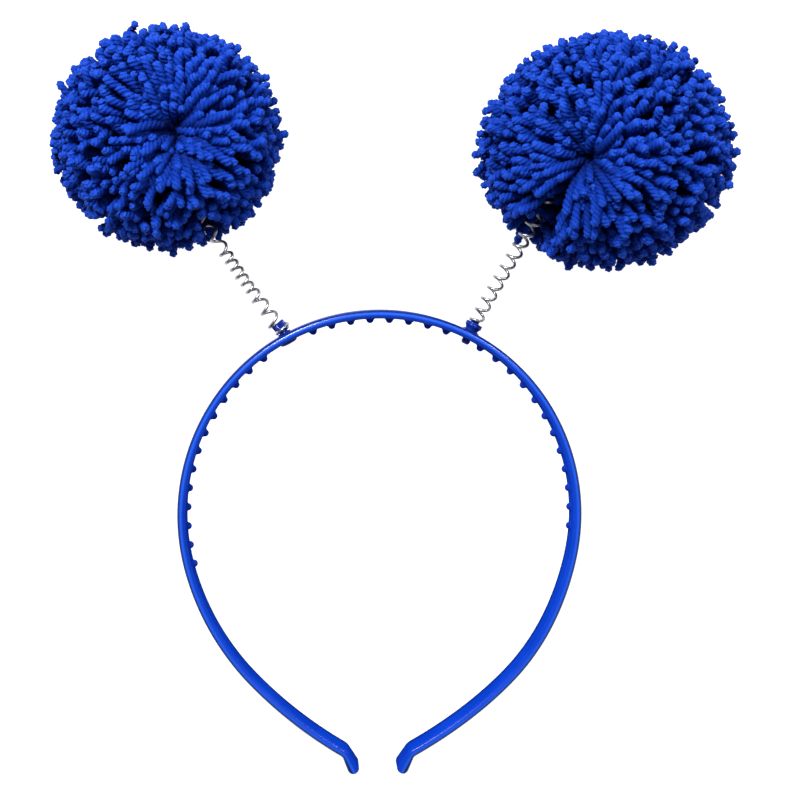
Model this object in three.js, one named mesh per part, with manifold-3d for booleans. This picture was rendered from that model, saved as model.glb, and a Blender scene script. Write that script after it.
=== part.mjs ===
// Head bopper: a plastic headband with two yarn pompoms on wire springs, lying on a surface.
// Millimetres, +Z up, +X across the band, +Y from the band's tips towards the pompoms.
import * as THREE from "three";
import { mergeVertices } from "three/addons/utils/BufferGeometryUtils.js";
import Module from "manifold-3d";

// Headband: a flat strip bent on edge, half of it as a chain of tangent arcs
const bandThickness = 3.0;
const bandDepth = 9.0;
const bandEdgeRound = 1.2;
const crownRadius = 62.9;
const crownLength = 66.4;
const shoulderRadius = 65.7;
const shoulderLength = 49.9;
const sideRadius = 83.1;
const sideLength = 43.3;
const lowerRadius = 138;
const lowerLength = 36.8;
const kneeRadius = 3.6;
const kneeTurn = 32;
const tipLength = 4.2;
const bandTilt = 6;

// Teeth on the inner face
const toothRadius = 1.15;
const toothLength = 1.5;
const toothEndRadius = 0.65;
const toothEndRound = 0.7;
const crownToothPitch = 6.4;
const crownTeethEachSide = 4;

// Where each side's teeth start, how far apart they are and where its post stands, as lengths
// along the band from the crown
const leftFirstTooth = 41;
const leftToothPitch = 6.3;
const rightFirstTooth = 35;
const rightToothPitch = 6.4;
const leftPostArc = 30.3;
const rightPostArc = 29.7;

// Posts: plastic spools pressed through the band
const shankRadius = 0.8;
const flangeRadius = 2.3;
const flangeHeight = 0.3;
const neckRadius = 1.3;
const postHeadChamfer = 0.3;
const innerHeadChamfer = 0.4;

// The left post holds its wire on a neck under its head
const leftHeadRadius = 2.05;
const leftHeadHeight = 2.0;
const leftInnerRadius = 2.6;
const leftInnerHeight = 0.7;

// The right post is a cone that widens to its head, and holds its wire on a peg above it
const rightHeadRadius = 2.75;
const rightHeadHeight = 1.2;
const rightConeRadius = 1.9;
const rightConeHeight = 1.2;
const rightInnerRadius = 1.4;
const rightInnerHeight = 1.6;

// Springs: round wire wound on the neck or peg and then as an open coil
const wireRadius = 0.4;
const coilRadius = 1.95;
const neckTurns = 1;
const neckPitch = 0.85;
const stepOutTurns = 0.3;
const passTurns = 0.5;
// How far each spring keeps to its post's axis, where it heads for as a share of the pompom's
// half size, and where it ends as a share of the core's
const leftSpringLead = 14;
const leftEntryShare = 0.86;
const leftEndShare = 0.5;
const rightSpringLead = 8;
const rightEntryShare = 0.68;
const rightEndShare = 0.9;

// Pompoms: half sizes, and how far each centre is from its post's foot, seen from above
const leftHalfWidth = 36.8;
const leftHalfLength = 36;
const leftHalfHeight = 34;
const rightHalfWidth = 40.7;
const rightHalfLength = 38;
const rightHalfHeight = 36;
const leftReach = 71.8;
const rightReach = 70.55;
const coreShare = 0.62;
const lockCount = 56;
const lockTipRadius = 8.1;
const lockRootRadius = 3.8;
const lockEndRadius = 4.4;
const lockEndRound = 2.6;
const lockRootShare = 0.8;
const poleDimple = 17;
const restFlat = 1.2;
const partingWidth = 5.2;

// Clearances
const fitGap = 0.3;
const wireGap = 0.25;

// What differs between the two sides: x is -1 for left, 1 for right. Angles are in degrees.
// Reach and lean place the pompom from the post, entry is where its spring comes in,
// and pole is where its yarn parts.
const SIDES = [
  {
    name: "left",
    x: -1,
    firstTooth: leftFirstTooth,
    toothPitch: leftToothPitch,
    teeth: 13,
    postArc: leftPostArc,
    innerHeadRadius: leftInnerRadius,
    innerHeadHeight: leftInnerHeight,
    halfSize: { x: leftHalfWidth, y: leftHalfLength, z: leftHalfHeight },
    reach: leftReach,
    lean: 31.5,
    entry: { azimuth: -70, elevation: 25.5 },
    springLead: leftSpringLead,
    entryShare: leftEntryShare,
    endShare: leftEndShare,
    pole: { azimuth: -20, elevation: 77 },
    lockTwist: 0.4,
    coil: [
      { turns: 2, share: 0.17 },
      { turns: 6, share: 0.31 },
      { turns: 4.5, share: 0.52 },
    ],
  },
  {
    name: "right",
    x: 1,
    firstTooth: rightFirstTooth,
    toothPitch: rightToothPitch,
    teeth: 12,
    postArc: rightPostArc,
    innerHeadRadius: rightInnerRadius,
    innerHeadHeight: rightInnerHeight,
    halfSize: { x: rightHalfWidth, y: rightHalfLength, z: rightHalfHeight },
    reach: rightReach,
    lean: 36.1,
    entry: { azimuth: -144.5, elevation: 28.5 },
    springLead: rightSpringLead,
    entryShare: rightEntryShare,
    endShare: rightEndShare,
    pole: { azimuth: -145, elevation: 60 },
    lockTwist: 1.9,
    coil: [{ turns: 13, share: 1 }],
  },
];

// Fineness of the facets
const crownFacets = 12;
const facetTurn = THREE.MathUtils.degToRad(5.2);
const tipFacets = 5;
const toothSides = 6;
const postSides = 12;
const wireSides = 5;
const stepsPerTurn = 8;
const axisSteps = 160;
const lockSides = 5;
const boreSides = 8;
const coreSides = 12;

const wasm = await Module();
wasm.setup();

const radians = THREE.MathUtils.degToRad;

// A closed geometry as a solid that can be joined and cut
function solidOf(geometry, matrix = new THREE.Matrix4()) {
  const bare = geometry.clone().applyMatrix4(matrix);
  bare.deleteAttribute("normal");
  bare.deleteAttribute("uv");
  const merged = mergeVertices(bare, 1e-4);
  return new wasm.Manifold(
    new wasm.Mesh({
      numProp: 3,
      vertProperties: merged.attributes.position.array,
      triVerts: new Uint32Array(merged.index.array),
    }),
  );
}

function geometryOf(solid) {
  const { numProp, vertProperties, triVerts } = solid.getMesh();
  const geometry = new THREE.BufferGeometry();
  geometry.setAttribute("position", new THREE.BufferAttribute(vertProperties, numProp));
  geometry.setIndex(new THREE.BufferAttribute(triVerts, 1));
  geometry.computeVertexNormals();
  return geometry;
}

// The right half of the band's centre line, from the crown. A turn below 0 bends outwards.
const bandArcs = [
  { length: crownLength, turn: crownLength / crownRadius },
  { length: shoulderLength, turn: shoulderLength / shoulderRadius },
  { length: sideLength, turn: sideLength / sideRadius },
  { length: lowerLength, turn: lowerLength / lowerRadius },
  { length: kneeRadius * radians(kneeTurn), turn: -radians(kneeTurn) },
  { length: tipLength, turn: 0 },
];

// The direction of the outer side where the band has turned by an angle from the crown
const outwards = (turned) => new THREE.Vector2(Math.sin(turned), Math.cos(turned));

// A stretch of one arc: where it ends when it starts at a place with a turn
function along(place, turned, length, turn) {
  if (turn === 0) {
    const heading = new THREE.Vector2(Math.cos(turned), -Math.sin(turned));
    return place.clone().addScaledVector(heading, length);
  }
  const radius = length / turn;
  return place
    .clone()
    .addScaledVector(outwards(turned), -radius)
    .addScaledVector(outwards(turned + turn), radius);
}

// The centre line's place and turn at a length from the crown
function bandAt(length) {
  let place = new THREE.Vector2();
  let turned = 0;
  let left = length;
  for (const arc of bandArcs) {
    const share = Math.min(left / arc.length, 1);
    place = along(place, turned, arc.length * share, arc.turn * share);
    turned += arc.turn * share;
    left -= arc.length * share;
    if (left <= 0) break;
  }
  return { place, turned };
}

// Stations along the right half, the first half a facet from the crown, so that the crown
// itself is the middle of a flat facet
function bandStations() {
  const stations = [];
  let start = 0;
  for (const arc of bandArcs) {
    const onCrown = start === 0;
    const even = Math.max(1, Math.round(Math.abs(arc.turn) / facetTurn));
    const facets = onCrown ? crownFacets : even;
    const step = arc.length / (onCrown ? facets + 0.5 : facets);
    for (let i = 1; i <= facets + (onCrown ? 1 : 0); i++) {
      stations.push(bandAt(start + step * (onCrown ? i - 0.5 : i)));
    }
    start += arc.length;
  }
  return stations;
}

// The band's outline as seen from the front: outer edge, round tips and inner edge
function bandOutline() {
  const half = bandThickness / 2;
  const stations = bandStations();
  const edge = (side) =>
    stations.map((s) => s.place.clone().addScaledVector(outwards(s.turned), half * side));
  const end = stations[stations.length - 1];
  const tip = [];
  for (let i = 1; i < tipFacets; i++) {
    const offset = outwards(end.turned + (Math.PI * i) / tipFacets).multiplyScalar(half);
    tip.push(end.place.clone().add(offset));
  }
  const rightHalf = [...edge(1), ...tip, ...edge(-1).reverse()];
  const leftHalf = rightHalf.map((p) => new THREE.Vector2(-p.x, p.y)).reverse();
  return [...rightHalf, ...leftHalf];
}

// A turned solid that points along +Y, moved so that it points outwards at a place on the band
function onBand(side, arcLength) {
  const { place, turned } = bandAt(arcLength);
  return new THREE.Matrix4()
    .makeRotationZ(-turned * side)
    .setPosition(place.x * side, place.y, 0);
}

const lathe = (rows, sides) =>
  new THREE.LatheGeometry(
    rows.map(({ radius, at }) => new THREE.Vector2(radius, at)),
    sides,
  );

// One tooth, rooted a little inside the band, pointing down from its inner face
function toothGeometry() {
  const face = -bandThickness / 2;
  const end = face - toothLength;
  const root = face + toothRadius / 2;
  return lathe(
    [
      { radius: 0, at: end },
      { radius: toothEndRadius, at: end },
      { radius: toothRadius, at: end + toothEndRound },
      { radius: toothRadius, at: root },
      { radius: 0, at: root },
    ],
    toothSides,
  );
}

function toothPlaces() {
  const places = [];
  for (const side of SIDES) {
    for (let i = 0; i < crownTeethEachSide; i++) {
      places.push(onBand(side.x, crownToothPitch * (i + 0.5)));
    }
    for (let i = 0; i < side.teeth; i++) {
      places.push(onBand(side.x, side.firstTooth + side.toothPitch * i));
    }
  }
  return places;
}

function headbandGeometry() {
  const shape = new THREE.Shape(bandOutline());
  const strip = new THREE.ExtrudeGeometry(shape, {
    depth: bandDepth - 2 * bandEdgeRound,
    bevelThickness: bandEdgeRound,
    bevelSize: bandEdgeRound,
    bevelOffset: -bandEdgeRound,
    bevelSegments: 1,
  });
  strip.translate(0, 0, bandEdgeRound - bandDepth / 2);
  let band = solidOf(strip);
  const tooth = toothGeometry();
  for (const place of toothPlaces()) band = band.add(solidOf(tooth, place));
  const hole = new THREE.CylinderGeometry(
    shankRadius + fitGap,
    shankRadius + fitGap,
    bandThickness * 2,
    postSides,
  );
  for (const side of SIDES) band = band.subtract(solidOf(hole, onBand(side.x, side.postArc)));
  return geometryOf(band);
}

// Heights along a post, from the band's centre line outwards
const flangeSeat = bandThickness / 2 + fitGap;
const neckStart = flangeSeat + flangeHeight;
const woundHeight = neckTurns * neckPitch;
const neckStep = wireRadius / 2;
const wireClear = wireGap + wireRadius;

// The left post: its wire starts above the flange, and its head is past the wound turns
function neckPostRows() {
  const headStart = neckStart + woundHeight + neckStep + 2 * wireClear;
  const headEnd = headStart + leftHeadHeight;
  return [
    { radius: neckRadius, at: neckStart },
    { radius: neckRadius, at: headStart },
    { radius: leftHeadRadius, at: headStart },
    { radius: leftHeadRadius, at: headEnd - postHeadChamfer },
    { radius: leftHeadRadius - postHeadChamfer, at: headEnd },
  ];
}

// The right post: a cone up to its head, and a peg on top that the wire is wound on
function peggedPostRows() {
  const headStart = neckStart + rightConeHeight;
  const headEnd = headStart + rightHeadHeight;
  return [
    { radius: rightConeRadius, at: neckStart },
    { radius: rightHeadRadius, at: headStart },
    { radius: rightHeadRadius, at: headEnd - postHeadChamfer },
    { radius: rightHeadRadius - postHeadChamfer, at: headEnd },
    { radius: neckRadius, at: headEnd },
    { radius: neckRadius, at: headEnd + woundHeight + 2 * wireClear },
  ];
}

const isPegged = (side) => side.x > 0;

function wireStart(side) {
  const seat = isPegged(side) ? neckStart + rightConeHeight + rightHeadHeight : neckStart;
  return seat + wireClear;
}

function postGeometry(side) {
  const innerSeat = -flangeSeat;
  const innerEnd = innerSeat - side.innerHeadHeight;
  const upper = isPegged(side) ? peggedPostRows() : neckPostRows();
  return lathe(
    [
      { radius: 0, at: innerEnd },
      { radius: side.innerHeadRadius - innerHeadChamfer, at: innerEnd },
      { radius: side.innerHeadRadius, at: innerEnd + innerHeadChamfer },
      { radius: side.innerHeadRadius, at: innerSeat },
      { radius: shankRadius, at: innerSeat },
      { radius: shankRadius, at: flangeSeat },
      { radius: flangeRadius, at: flangeSeat },
      { radius: flangeRadius, at: neckStart },
      ...upper,
      { radius: 0, at: upper[upper.length - 1].at },
    ],
    postSides,
  );
}

// The band's frame: the crown is raised, and the tips rest on the ground
const tilt = radians(bandTilt);
const bandReach = -Math.min(...bandOutline().map((p) => p.y));
const crownHeight = bandReach * Math.sin(tilt) + (bandDepth / 2) * Math.cos(tilt);
const bandFrame = new THREE.Matrix4().makeRotationX(tilt).setPosition(0, 0, crownHeight);

// A unit vector from its azimuth, 0 along +X and 90 along +Y, and its elevation
function direction({ azimuth, elevation }) {
  const flat = Math.cos(radians(elevation));
  return new THREE.Vector3(
    flat * Math.cos(radians(azimuth)),
    flat * Math.sin(radians(azimuth)),
    Math.sin(radians(elevation)),
  );
}

// A post's axis: a place on it at a height from the band's centre line, in the part's frame
function onPost(side, height) {
  return new THREE.Vector3(0, height, 0)
    .applyMatrix4(onBand(side.x, side.postArc))
    .applyMatrix4(bandFrame);
}

function pompomCentre(side) {
  const start = onPost(side, 0);
  const lean = radians(side.lean);
  return new THREE.Vector3(
    start.x + side.x * side.reach * Math.sin(lean),
    start.y + side.reach * Math.cos(lean),
    side.halfSize.z - restFlat,
  );
}

// How far the pompom's outside is from its centre in a direction
function pompomReach(side, unit) {
  const { x, y, z } = side.halfSize;
  return 1 / Math.hypot(unit.x / x, unit.y / y, unit.z / z);
}

// The middle line of a spring, from the neck of its post into the pompom's core
function springAxis(side) {
  const start = onPost(side, wireStart(side));
  const rise = onPost(side, wireStart(side) + side.springLead);
  const inwards = direction(side.entry);
  const surface = pompomReach(side, inwards);
  const centre = pompomCentre(side);
  const above = centre.clone().addScaledVector(inwards, surface * side.entryShare);
  const end = centre.clone().addScaledVector(inwards, surface * coreShare * side.endShare);
  return new THREE.CubicBezierCurve3(start, rise, above, end);
}

// A spring's windings from the neck or peg outwards, with the rise and the radius that each
// ends at. On the left the wire steps out past the post's head and in again.
function windings(side, axisLength) {
  const past = leftHeadRadius + wireClear;
  const passRise = leftHeadHeight + 2 * wireClear;
  const rows = [{ turns: neckTurns, rise: woundHeight, radius: coilRadius }];
  if (!isPegged(side)) {
    rows.push(
      { turns: stepOutTurns, rise: neckStep, radius: past },
      { turns: passTurns, rise: passRise, radius: past },
      { turns: stepOutTurns, rise: wireRadius * 2, radius: coilRadius },
    );
  }
  const used = rows.reduce((sum, row) => sum + row.rise, 0);
  for (const row of side.coil) {
    rows.push({ turns: row.turns, rise: row.share * (axisLength - used), radius: coilRadius });
  }
  return rows;
}

function springGeometry(side) {
  const axis = springAxis(side);
  const length = axis.getLength();
  const frames = axis.computeFrenetFrames(axisSteps);
  const points = [];
  const place = (risen, radius, angle) => {
    const u = Math.min(risen / length, 1);
    const frame = Math.round(u * axisSteps);
    return axis
      .getPointAt(u)
      .addScaledVector(frames.normals[frame], radius * Math.cos(angle))
      .addScaledVector(frames.binormals[frame], radius * Math.sin(angle));
  };
  let risen = 0;
  let turned = 0;
  let radius = coilRadius;
  for (const row of windings(side, length)) {
    const steps = Math.ceil(row.turns * stepsPerTurn);
    for (let i = 0; i < steps; i++) {
      const share = i / steps;
      points.push(
        place(
          risen + row.rise * share,
          THREE.MathUtils.lerp(radius, row.radius, share),
          (turned + row.turns * share) * 2 * Math.PI,
        ),
      );
    }
    risen += row.rise;
    turned += row.turns;
    radius = row.radius;
  }
  points.push(place(risen, radius, turned * 2 * Math.PI));
  return tube(new THREE.CatmullRomCurve3(points), wireRadius, wireSides, points.length - 1);
}

// A round bar along a curve
function tube(curve, radius, sides, steps) {
  const section = new THREE.Shape();
  for (let i = 0; i < sides; i++) {
    const angle = (i / sides) * 2 * Math.PI;
    const corner = [radius * Math.cos(angle), radius * Math.sin(angle)];
    if (i === 0) section.moveTo(...corner);
    else section.lineTo(...corner);
  }
  return new THREE.ExtrudeGeometry(section, { extrudePath: curve, steps, bevelEnabled: false });
}

// Directions spread evenly over a ball
function spread(count, twist) {
  const goldenTurn = Math.PI * (3 - Math.sqrt(5));
  return Array.from({ length: count }, (_, i) => {
    const height = 1 - (2 * (i + 0.5)) / count;
    const flat = Math.sqrt(1 - height * height);
    const angle = twist + i * goldenTurn;
    return new THREE.Vector3(flat * Math.cos(angle), flat * Math.sin(angle), height);
  });
}

// True where a lock would cover the spring seen from above, so the yarn parts there
function coversSpring(tip, axisPoints) {
  return axisPoints.some((p) => tip.z > p.z && Math.hypot(tip.x - p.x, tip.y - p.y) < partingWidth);
}

// A lock of yarn from the core out to the pompom's outside, wider and rounded at its end
function lockSolid(unit, root, reach) {
  const rows = [
    { radius: 0, at: root },
    { radius: lockRootRadius, at: root },
    { radius: lockTipRadius, at: reach - lockEndRound },
    { radius: lockEndRadius, at: reach },
    { radius: 0, at: reach },
  ];
  const turn = new THREE.Quaternion().setFromUnitVectors(new THREE.Vector3(0, 1, 0), unit);
  return solidOf(lathe(rows, lockSides), new THREE.Matrix4().makeRotationFromQuaternion(turn));
}

function pompomGeometry(side) {
  const { x, y, z } = side.halfSize;
  const core = new THREE.SphereGeometry(coreShare, coreSides, coreSides / 2).scale(x, y, z);
  const centre = pompomCentre(side);
  const axis = springAxis(side);
  const axisPoints = axis.getSpacedPoints(axisSteps).map((p) => p.sub(centre));
  const pole = direction(side.pole);
  let ball = solidOf(core);
  for (const unit of spread(lockCount, side.lockTwist)) {
    const reach = pompomReach(side, unit);
    const tip = unit.clone().multiplyScalar(reach);
    if (unit.angleTo(pole) < radians(poleDimple) || coversSpring(tip, axisPoints)) continue;
    ball = ball.add(lockSolid(unit, reach * coreShare * lockRootShare, reach));
  }
  // The bore that the spring sits in, and the flat that the yarn rests on
  const boreRadius = (coilRadius + wireRadius + fitGap) / Math.cos(Math.PI / boreSides);
  const borePoints = axisPoints.filter((_, i) => i % 8 === 0);
  const past = axis.getTangent(1).multiplyScalar(wireRadius * 2 + fitGap);
  borePoints.push(axisPoints[axisSteps].clone().add(past));
  const bore = tube(new THREE.CatmullRomCurve3(borePoints), boreRadius, boreSides, borePoints.length);
  const ground = new THREE.BoxGeometry(4 * x, 4 * y, 2 * z).translate(0, 0, restFlat - 2 * z);
  return geometryOf(ball.subtract(solidOf(bore)).subtract(solidOf(ground)));
}

const finishes = {
  band: new THREE.MeshStandardMaterial({ color: 0x1f4fd8, roughness: 0.25 }),
  post: new THREE.MeshStandardMaterial({ color: 0x1b2f9e, roughness: 0.35 }),
  wire: new THREE.MeshStandardMaterial({ color: 0xcfd2d6, roughness: 0.2, metalness: 1 }),
  yarn: new THREE.MeshStandardMaterial({ color: 0x1538c0, roughness: 0.95 }),
};

function piece(name, geometry, material) {
  const mesh = new THREE.Mesh(geometry, material);
  mesh.name = name;
  return mesh;
}

const assembly = new THREE.Group();
const band = new THREE.Group();
band.applyMatrix4(bandFrame);
assembly.add(band);
band.add(piece("headband", headbandGeometry(), finishes.band));
for (const side of SIDES) {
  const post = piece(`post_${side.name}`, postGeometry(side), finishes.post);
  post.applyMatrix4(onBand(side.x, side.postArc));
  band.add(post);
  assembly.add(piece(`spring_${side.name}`, springGeometry(side), finishes.wire));
  const pompom = piece(`pompom_${side.name}`, pompomGeometry(side), finishes.yarn);
  pompom.position.copy(pompomCentre(side));
  assembly.add(pompom);
}

// The origin: the middle of the whole part's box, on the ground
const box = new THREE.Box3().setFromObject(assembly, true);
const middle = box.getCenter(new THREE.Vector3());
assembly.position.set(-middle.x, -middle.y, -box.min.z);
const group = new THREE.Group();
group.add(assembly);

export default group;
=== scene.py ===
"""Looks of the head bopper: a glossy headband, two wire springs on plastic posts and two yarn pompoms.

Lengths are in millimetres until a mesh is made, in the part's frame: +X across the band,
+Y from its tips towards the pompoms, +Z up from the surface it lies on.
"""

import math

import bpy
import numpy as np
from mathutils import Matrix, Vector


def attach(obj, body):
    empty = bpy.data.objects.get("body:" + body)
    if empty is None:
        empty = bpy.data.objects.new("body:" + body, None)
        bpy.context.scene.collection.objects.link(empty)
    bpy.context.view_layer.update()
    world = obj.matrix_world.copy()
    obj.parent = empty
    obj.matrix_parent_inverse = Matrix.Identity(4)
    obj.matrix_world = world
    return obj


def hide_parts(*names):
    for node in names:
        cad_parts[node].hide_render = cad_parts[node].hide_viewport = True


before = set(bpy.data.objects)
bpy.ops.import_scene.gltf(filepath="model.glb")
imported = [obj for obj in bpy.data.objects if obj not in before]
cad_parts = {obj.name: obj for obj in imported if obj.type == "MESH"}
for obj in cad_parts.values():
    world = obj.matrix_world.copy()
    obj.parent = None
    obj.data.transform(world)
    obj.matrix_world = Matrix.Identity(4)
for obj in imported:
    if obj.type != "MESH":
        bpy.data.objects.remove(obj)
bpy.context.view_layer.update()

MM = 0.001
TURN = 2 * math.pi

# Headband: half of its centre line as tangent arcs, each with its length and its turn
BAND_THICKNESS = 2.8
BAND_DEPTH = 9.0
KNEE_RADIUS = 3.6
KNEE_TURN = math.radians(32)
ARCS = [
    {"length": 66.4, "turn": 66.4 / 62.9},
    {"length": 49.9, "turn": 49.9 / 65.7},
    {"length": 43.3, "turn": 43.3 / 83.1},
    {"length": 36.8, "turn": 36.8 / 138},
    {"length": KNEE_RADIUS * KNEE_TURN, "turn": -KNEE_TURN},
    {"length": 4.2, "turn": 0.0},
]
BAND_LENGTH = sum(arc["length"] for arc in ARCS)
TILT = math.radians(6)
CROWN = np.array([-3.681, 28.202, 19.857])
EDGE_ROUND = 1.38
TIP_SWELL = 0.35
TIP_SWELL_LENGTH = 4.5
TIP_ROUND_LENGTH = 2.0
TIP_DEPTH_LOSS = 0.35
# Over its last stretch the right arm bulges a little further out, then ends a little further in
RIGHT_STRETCH = 90.0
RIGHT_BULGE = 0.9
RIGHT_BEND = 1.2
STATION_STEP = 2.0
KNEE_STEP = 0.35
BAND_CREASE = math.radians(35)
LIE_STATIONS = 400
LIE_BATCH = 5000

# Teeth on the inner face
TOOTH_RADIUS = 1.1
TOOTH_LENGTH = 1.5
TOOTH_FLARE = 0.8
CROWN_TOOTH_PITCH = 6.4
CROWN_TEETH_EACH_SIDE = 4

# Posts, as heights from the band's centre line outwards
FIT_GAP = 0.04
WIRE_GAP = 0.04
HOLE_GAP = 0.15
SHANK_RADIUS = 0.8
FLANGE_RADIUS = 2.2
FLANGE_HEIGHT = 0.4
NECK_RADIUS = 1.45
PEG_RADIUS = 1.3
CONE_RADIUS = 2.1
CONE_HEIGHT = 1.2
RIM_HEIGHT = 1.3
PAD_RADIUS = 3.1
# The right post's rim, from its lower to its upper edge: how far in, and the share of its height
SPOOL_RIM = [(0, 0.1), (0, 0.36), (0.12, 0.46), (0.12, 0.52), (0, 0.62), (0, 0.8), (0.08, 0.93), (0.3, 1)]
KNURLS = 20
KNURL_DEPTH = 0.13
POST_SIDES = 48
POST_CREASE = math.radians(50)
BEND_LENGTH = 2.0

# Springs
WIRE_RADIUS = 0.5
COIL_RADIUS = 1.95
NECK_COIL_RADIUS = 2.3
NECK_PITCH = 0.8
WIRE_SIDES = 10
STEPS_PER_TURN = 26
AXIS_STEPS = 2400

FLANGE_SEAT = BAND_THICKNESS / 2 + FIT_GAP
NECK_START = FLANGE_SEAT + FLANGE_HEIGHT
WIRE_CLEAR = WIRE_GAP + WIRE_RADIUS

# Pompoms
CORE_SHARE = 0.62
CORE_OVERLAP = 1.02
COVERED_SHARE = 0.35
TIP_SHARES = [0.93, 0.965, 0.988, 1.0]
REST_FLAT = 1.2
STRAND_RADIUS = 1.5
STRAND_SPACING = 3.9
PLIES = 3
PLY_RADIUS = 1.04
PLY_OFFSET = 0.46
PLY_TURN_LENGTH = 4.4
TIP_ROUND = 1.3
UNEVEN = 0.07
DIMPLE_ANGLE = math.radians(12)
CROWN_ANGLE = math.radians(57)
FULL_ARCH_ANGLE = math.radians(30)
NO_ARCH_ANGLE = math.radians(55)
BASE_ANGLE = math.radians(105)
VALLEY_DROP = 3.0

SIDES = {
    "left": {
        "x": -1,
        "first_tooth": 41.0,
        "tooth_pitch": 6.3,
        "teeth": 13,
        "post_arc": 31.1,
        "post_lean": math.radians(12),
        "inner_head": {"radius": 2.9, "height": 0.8, "round": 0.7},
        "head": {"radius": 2.2, "height": 2.0},
        "head_start": 3.5,
        "wire_start": 2.4,
        "wire_phase": 0.125,
        "neck_turns": 1.0,
        "half_size": np.array([36.8, 36.0, 34.0]),
        "reach": 71.75,
        "lean": math.radians(30.86),
        "entry": {"azimuth": -70, "elevation": 25.5},
        "spring_lead": 14,
        "entry_share": 0.86,
        "end_share": 0.5,
        "seen_from": 0.99,
        "valley": {"width": 2.0, "slope": 2.5},
        "pole": {"azimuth": -20, "elevation": 77},
        "coil": [(2, 0.17, COIL_RADIUS), (0.5, 0.03, 1.6), (5.5, 0.28, 1.65), (5, 0.52, COIL_RADIUS)],
        "seed": 11,
    },
    "right": {
        "x": 1,
        "first_tooth": 35.0,
        "tooth_pitch": 6.32,
        "teeth": 12,
        "post_arc": 29.7,
        "post_lean": 0.0,
        "inner_head": {"radius": 1.4, "height": 1.6, "round": 0.95},
        "head": {"radius": 2.8, "height": RIM_HEIGHT},
        "head_start": NECK_START + CONE_HEIGHT,
        "wire_start": NECK_START + CONE_HEIGHT + RIM_HEIGHT + WIRE_CLEAR,
        "wire_phase": 0.5,
        "neck_turns": 0.4,
        "half_size": np.array([40.7, 38.0, 36.0]),
        "reach": 70.55,
        "lean": math.radians(36.1),
        "entry": {"azimuth": -144.5, "elevation": 28.5},
        "spring_lead": 8,
        "entry_share": 0.68,
        "end_share": 0.9,
        "seen_from": 0.8,
        "valley": {"width": 2.8, "slope": 3.5},
        "pole": {"azimuth": -145, "elevation": 60},
        "coil": [(13, 1.0, COIL_RADIUS)],
        "seed": 23,
    },
}

# The camera, from where the photo was taken
CAMERA_FROM_CROWN = np.array([-24.0, -29.95, 418.88])
CAMERA_VIEW = np.array([0.0262, 0.0784, -0.9966])
CAMERA_UP = np.array([0.0007, 0.9969, 0.0785])
CAMERA_LENS = 60.0
CAMERA_SENSOR = 36.0
CAMERA_SHIFT = (0.069, -0.113)


def unit(vectors):
    return vectors / np.linalg.norm(vectors, axis=-1, keepdims=True)


def smooth(share):
    """0 to 1 with a soft start and end."""
    share = np.clip(share, 0, 1)
    return share * share * (3 - 2 * share)


# Meshes


def lofts(rings):
    """Closed tubes through rings of points, shaped (tubes, rings, points, 3), with a fan at each end."""
    tubes, steps, sides, _ = rings.shape
    ends = rings[:, [0, -1]].mean(axis=2)
    points = np.concatenate([rings.reshape(tubes, -1, 3), ends], axis=1)
    row = np.arange(steps - 1)[:, None] * sides
    here = np.arange(sides)
    after = (here + 1) % sides
    quads = np.stack([row + here, row + after, row + sides + after, row + sides + here], -1)
    last = (steps - 1) * sides
    first_centre = np.full(sides, steps * sides)
    fans = np.concatenate(
        [
            np.stack([first_centre, after, here], -1),
            np.stack([first_centre + 1, last + here, last + after], -1),
        ]
    )
    starts = np.arange(tubes)[:, None, None] * points.shape[1]
    faces = (quads.reshape(-1, 4) + starts).reshape(-1, 4).tolist()
    faces += (fans + starts).reshape(-1, 3).tolist()
    return points.reshape(-1, 3), faces


def mesh_object(name, points, faces, finish=None):
    mesh = bpy.data.meshes.new(name)
    mesh.from_pydata((points * MM).tolist(), [], faces)
    mesh.polygons.foreach_set("use_smooth", [True] * len(mesh.polygons))
    if finish:
        mesh.materials.append(finish)
    mesh.update()
    piece = bpy.data.objects.new(name, mesh)
    bpy.context.scene.collection.objects.link(piece)
    return piece


def stand_for(piece, node):
    """The piece rides with the part and stands for one of its nodes."""
    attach(piece, "root")
    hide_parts(node)


def apply_modifiers(piece):
    evaluated = piece.evaluated_get(bpy.context.evaluated_depsgraph_get())
    made = bpy.data.meshes.new_from_object(evaluated)
    old = piece.data
    piece.modifiers.clear()
    piece.data = made
    made.name = old.name
    bpy.data.meshes.remove(old)


def combine(piece, other, operation):
    """Joins another closed shape to the piece, or cuts it from the piece."""
    modifier = piece.modifiers.new(operation.lower(), "BOOLEAN")
    modifier.operation = operation
    modifier.solver = "EXACT"
    modifier.object = other
    apply_modifiers(piece)
    bpy.data.objects.remove(other)


# Shader nodes


class Value:
    """A number on a node's socket that takes part in sums."""

    def __init__(self, finish, socket):
        self.finish = finish
        self.socket = socket

    def _sum(self, operation, first, second):
        return self.finish.node("ShaderNodeMath", {"operation": operation}, {0: first, 1: second})[0]

    def __add__(self, other):
        return self._sum("ADD", self, other)

    __radd__ = __add__

    def __mul__(self, other):
        return self._sum("MULTIPLY", self, other)

    __rmul__ = __mul__

    def __sub__(self, other):
        return self._sum("SUBTRACT", self, other)

    def __rsub__(self, other):
        return self._sum("SUBTRACT", other, self)


class Outputs:
    """A node's outputs by name or number."""

    def __init__(self, finish, made):
        self.finish = finish
        self.made = made

    def __getitem__(self, key):
        return Value(self.finish, self.made.outputs[key])


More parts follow.
